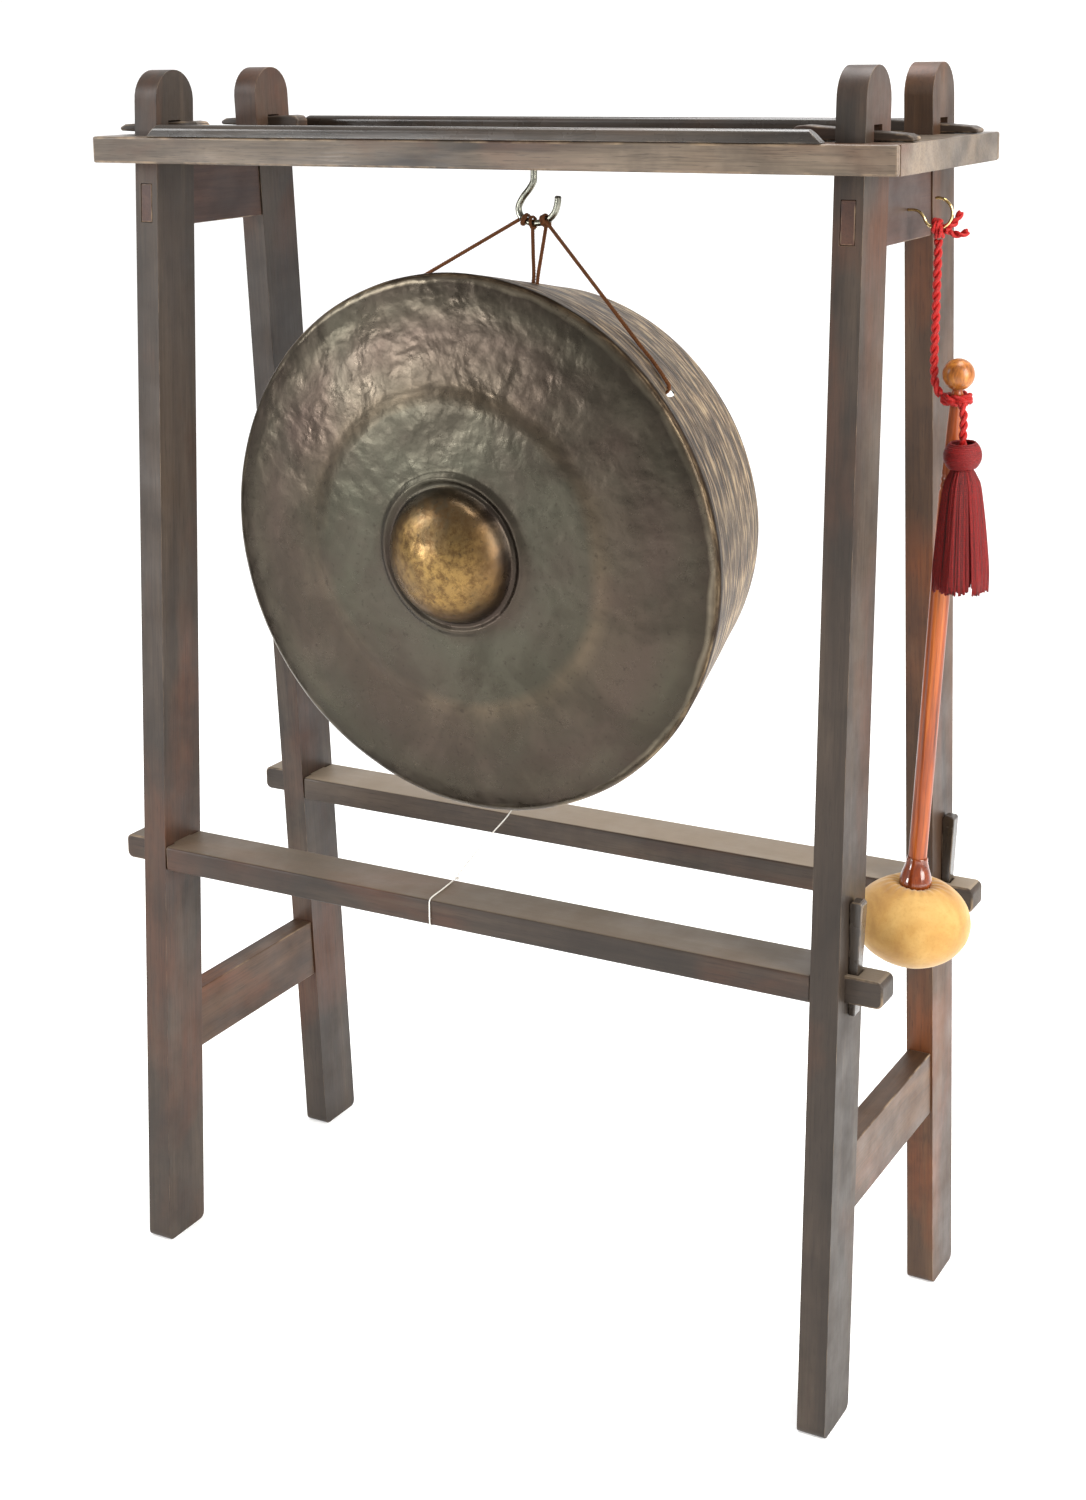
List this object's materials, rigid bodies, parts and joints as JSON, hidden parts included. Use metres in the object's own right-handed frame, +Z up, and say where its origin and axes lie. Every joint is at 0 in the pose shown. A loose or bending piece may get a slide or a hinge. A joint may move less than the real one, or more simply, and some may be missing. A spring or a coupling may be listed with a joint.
{
  "type": "tam tam gong",
  "caption": "Bossed bronze gong hung by cords in a knock-down wooden trestle stand, with a padded mallet and a red tassel hung on a brass hook at the side",
  "frame": {"origin": "on the floor, under the middle of the box of the rigid pieces (stand, gong and mallet)", "axes": "+Z up, X along the stand with the mallet at +X, the gong's face and boss towards -Y"},
  "size_m": [0.8034, 0.3154, 1.1],
  "materials": {
    "dark_wood": "worn dark brown stain with lighter arrises",
    "varnished_wood": "dark brown, glossy",
    "bronze": "hammered bronze with a grey-brown patina and a rubbed golden boss",
    "zinc_steel": "bright zinc plate",
    "bright_brass": "bright",
    "brown_cord": "twisted cord",
    "white_thread": "thin thread",
    "orange_wood": "turned and varnished",
    "red_lacquer": "glossy red-brown lacquer",
    "chamois": "soft suede",
    "head_core_wood": "bare wood inside the cover",
    "red_cord": "twisted red cord and fringe"
  },
  "bodies": {
    "stand": {"leg_front_left": "dark_wood", "leg_back_left": "dark_wood", "leg_front_right": "dark_wood", "leg_back_right": "dark_wood", "top_panel": "dark_wood", "front_edging": "dark_wood", "front_ledge_strip": "varnished_wood", "back_edging": "dark_wood", "back_ledge_strip": "varnished_wood", "left_apron": "dark_wood", "left_side_rail": "dark_wood", "right_apron": "dark_wood", "right_side_rail": "dark_wood", "front_long_rail": "dark_wood", "back_long_rail": "dark_wood", "gong_screw_hook": "zinc_steel", "brass_hook": "bright_brass", "tether_loop": "white_thread", "tether_knot": "white_thread", "red_hitch": "red_cord", "red_cord_end_1": "red_cord", "red_cord_end_2": "red_cord"},
    "gong": {"gong": "bronze", "hook_hitch_left": "brown_cord", "hook_hitch_right": "brown_cord", "side_cord_left": "brown_cord", "side_cord_right": "brown_cord", "top_cord_left": "brown_cord", "top_cord_right": "brown_cord", "rim_knot_left": "brown_cord", "rim_knot_right": "brown_cord", "rim_knot_top": "brown_cord", "tether_stop": "white_thread", "tether_thread": "white_thread"},
    "mallet_hanger": {"red_hanging_cord": "red_cord"},
    "mallet": {"mallet_handle": "orange_wood", "mallet_knob": "orange_wood", "mallet_collar": "red_lacquer", "mallet_head_cover": "chamois", "mallet_head_core": "head_core_wood", "neck_wrap": "red_cord"},
    "tassel": {"tassel_cord": "red_cord", "tassel_knot": "red_cord", "tassel_skirt": "red_cord"},
    "front_wedge": {"front_tusk_wedge": "dark_wood"},
    "back_wedge": {"back_tusk_wedge": "dark_wood"},
    "front_left_peg": {"front_left_peg": "dark_wood"},
    "back_left_peg": {"back_left_peg": "dark_wood"},
    "front_right_peg": {"front_right_peg": "dark_wood"},
    "back_right_peg": {"back_right_peg": "dark_wood"}
  },
  "joints": [
    {"name": "gong_swing", "type": "hinge", "parent": "stand", "child": "gong", "pos_m": [-0.0099, 0, 0.967], "axis": [1, 0, 0], "range_deg": [-6, 1], "deforming": ["tether_thread"]},
    {"name": "mallet_cord_swing", "type": "hinge", "parent": "stand", "child": "mallet_hanger", "pos_m": [0.3561, -0.005, 0.972], "axis": [0, -1, 0], "range_deg": [-6, 30]},
    {"name": "mallet_swing", "type": "hinge", "parent": "mallet_hanger", "child": "mallet", "pos_m": [0.3741, -0.0065, 0.8378], "axis": [1, 0, 0], "range_deg": [-3, 4]},
    {"name": "tassel_swing", "type": "hinge", "parent": "mallet", "child": "tassel", "pos_m": [0.3831, -0.0205, 0.8368], "axis": [-1, 0, 0], "range_deg": [0, 25]},
    {"name": "front_wedge_lift", "type": "slide", "parent": "stand", "child": "front_wedge", "axis": [0, 0, 1], "range_m": [0, 0.05]},
    {"name": "back_wedge_lift", "type": "slide", "parent": "stand", "child": "back_wedge", "axis": [0, 0, 1], "range_m": [0, 0.05]},
    {"name": "front_left_peg_slide", "type": "slide", "parent": "stand", "child": "front_left_peg", "axis": [1, 0, 0], "range_m": [0, 0.06]},
    {"name": "back_left_peg_slide", "type": "slide", "parent": "stand", "child": "back_left_peg", "axis": [1, 0, 0], "range_m": [0, 0.06]},
    {"name": "front_right_peg_slide", "type": "slide", "parent": "stand", "child": "front_right_peg", "axis": [-1, 0, 0], "range_m": [0, 0.06]},
    {"name": "back_right_peg_slide", "type": "slide", "parent": "stand", "child": "back_right_peg", "axis": [-1, 0, 0], "range_m": [0, 0.06]}
  ]
}
